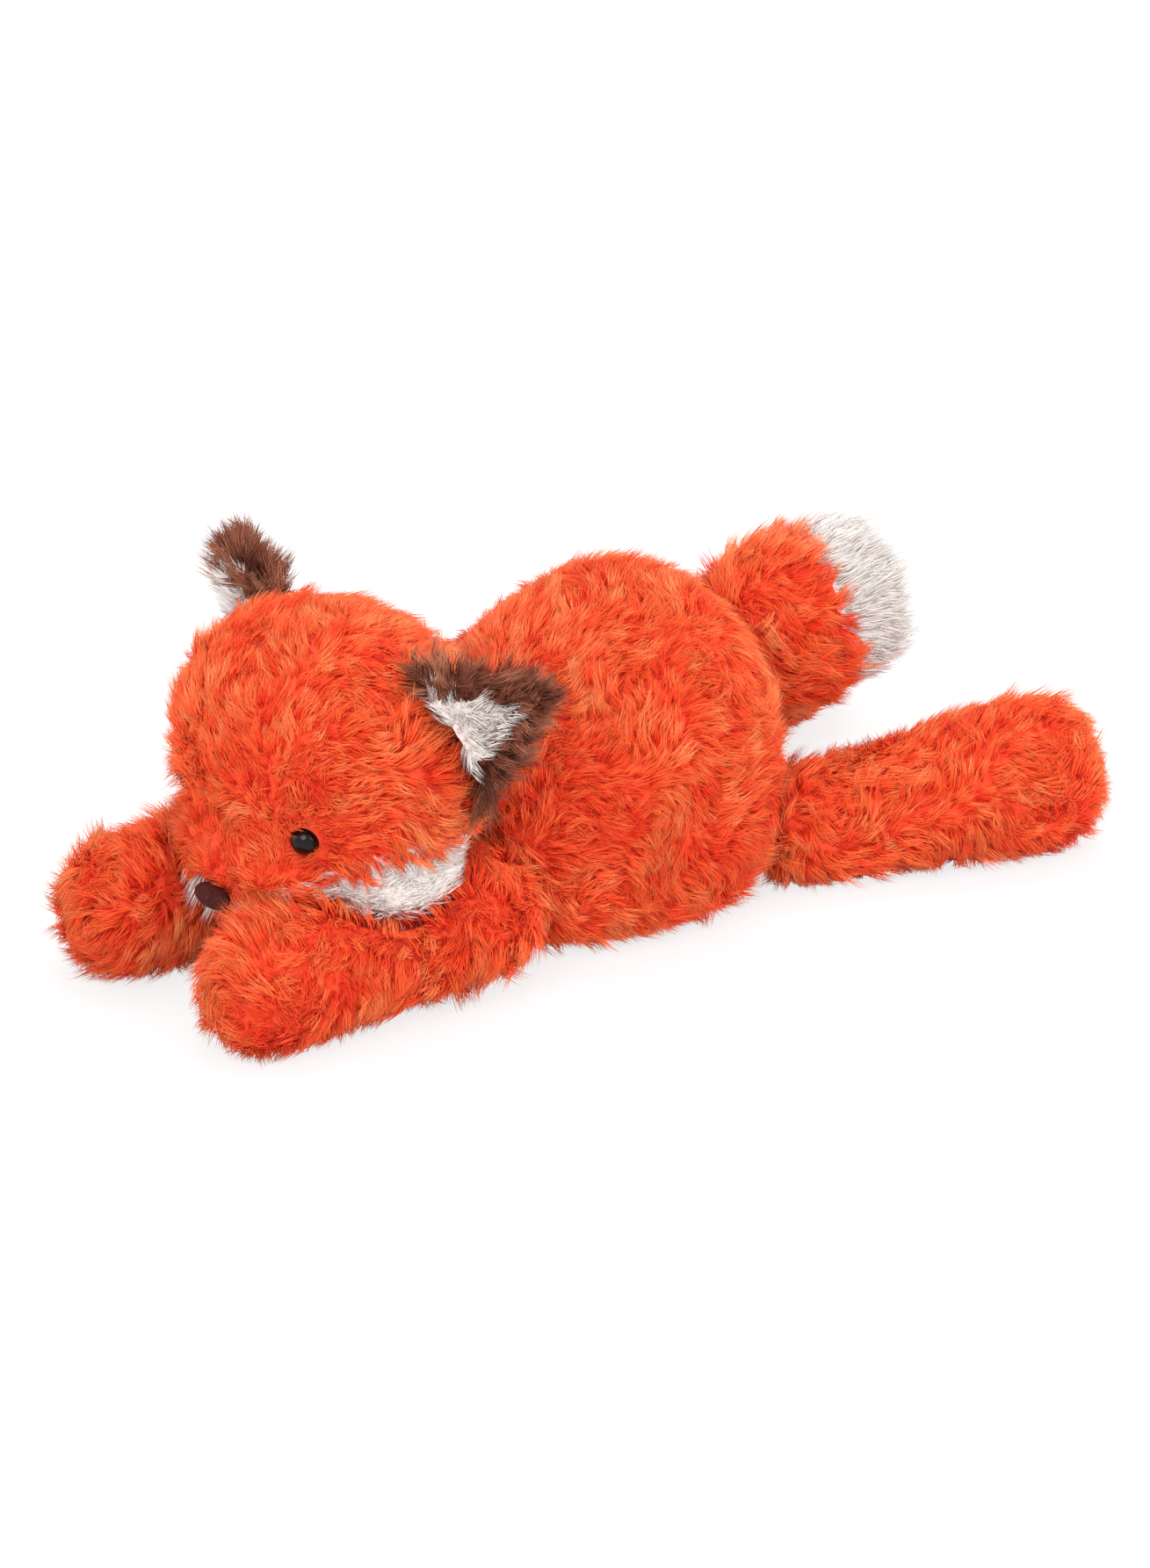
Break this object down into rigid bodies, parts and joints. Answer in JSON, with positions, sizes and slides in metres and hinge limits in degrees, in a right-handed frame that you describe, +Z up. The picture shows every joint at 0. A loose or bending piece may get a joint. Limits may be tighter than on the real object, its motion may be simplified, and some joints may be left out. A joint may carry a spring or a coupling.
{
  "type": "plush fox",
  "caption": "Soft toy fox lying on its belly with its front paws stretched forwards: orange shaggy fur, brown ears, white jaw and tail tip, glossy eyes.",
  "frame": {"origin": "middle of the flat that the belly rests on, on the surface below", "axes": "+Z up, -Y towards the fox's nose, +X to the fox's left"},
  "size_m": [0.1804, 0.3217, 0.121],
  "materials": {
    "orange_fur": "long shaggy orange pile",
    "white_fur": "long shaggy white pile",
    "brown_fur": "long shaggy brown pile",
    "nose_cloth": "short brown plush",
    "fibre_filling": "loose polyester fibre",
    "pouch_cloth": "plain woven cloth over plastic pellets",
    "eye_plastic": "glossy black moulded plastic",
    "washer_plastic": "white moulded plastic"
  },
  "bodies": {
    "body": {"belly_panel": "orange_fur", "left_back_panel": "orange_fur", "right_back_panel": "orange_fur", "body_filling": "fibre_filling", "pellet_pouch": "pouch_cloth"},
    "head": {"left_face_panel": "orange_fur", "right_face_panel": "orange_fur", "jaw_panel": "white_fur", "head_filling": "fibre_filling", "nose": "nose_cloth", "left_eye": "eye_plastic", "right_eye": "eye_plastic", "left_eye_washer": "washer_plastic", "right_eye_washer": "washer_plastic"},
    "left_ear": {"left_ear_back": "brown_fur", "left_ear_lining": "white_fur"},
    "right_ear": {"right_ear_back": "brown_fur", "right_ear_lining": "white_fur"},
    "left_arm": {"left_arm_upper_panel": "orange_fur", "left_arm_lower_panel": "orange_fur", "left_arm_filling": "fibre_filling"},
    "right_arm": {"right_arm_upper_panel": "orange_fur", "right_arm_lower_panel": "orange_fur", "right_arm_filling": "fibre_filling"},
    "left_leg": {"left_leg_outer_panel": "orange_fur", "left_leg_inner_panel": "orange_fur", "left_sole": "orange_fur", "left_leg_filling": "fibre_filling"},
    "right_leg": {"right_leg_outer_panel": "orange_fur", "right_leg_inner_panel": "orange_fur", "right_sole": "orange_fur", "right_leg_filling": "fibre_filling"},
    "tail": {"tail_panel": "orange_fur", "tail_tip": "white_fur", "tail_filling": "fibre_filling"}
  },
  "joints": [
    {"name": "head_lift", "type": "hinge", "parent": "body", "child": "head", "pos_m": [0, -0.05248, 0.09315], "axis": [-1, 0, 0], "range_deg": [0, 20], "stiffness_Nm_per_rad": 0.05},
    {"name": "left_ear_fold", "type": "hinge", "parent": "head", "child": "left_ear", "pos_m": [0.04047, -0.08504, 0.0909], "axis": [0.4197, 0.3198, -0.8494], "range_deg": [-15, 15], "stiffness_Nm_per_rad": 0.02},
    {"name": "right_ear_fold", "type": "hinge", "parent": "head", "child": "right_ear", "pos_m": [-0.04047, -0.08504, 0.0909], "axis": [0.4197, -0.3198, 0.8494], "range_deg": [-15, 15], "stiffness_Nm_per_rad": 0.02},
    {"name": "left_arm_spread", "type": "hinge", "parent": "body", "child": "left_arm", "pos_m": [0.036, -0.06533, 0.025], "axis": [0, 0, 1], "range_deg": [0, 30], "stiffness_Nm_per_rad": 0.05},
    {"name": "right_arm_spread", "type": "hinge", "parent": "body", "child": "right_arm", "pos_m": [-0.036, -0.06533, 0.025], "axis": [0, 0, -1], "range_deg": [0, 30], "stiffness_Nm_per_rad": 0.05},
    {"name": "left_leg_spread", "type": "hinge", "parent": "body", "child": "left_leg", "pos_m": [0.03798, 0.06163, 0.018], "axis": [0, 0, -1], "range_deg": [-5, 25], "stiffness_Nm_per_rad": 0.05},
    {"name": "right_leg_spread", "type": "hinge", "parent": "body", "child": "right_leg", "pos_m": [-0.03798, 0.06163, 0.018], "axis": [0, 0, 1], "range_deg": [-5, 25], "stiffness_Nm_per_rad": 0.05},
    {"name": "tail_wag", "type": "hinge", "parent": "body", "child": "tail", "pos_m": [0, 0.07902, 0.06909], "axis": [0, 0, 1], "range_deg": [-15, 15], "stiffness_Nm_per_rad": 0.05}
  ]
}
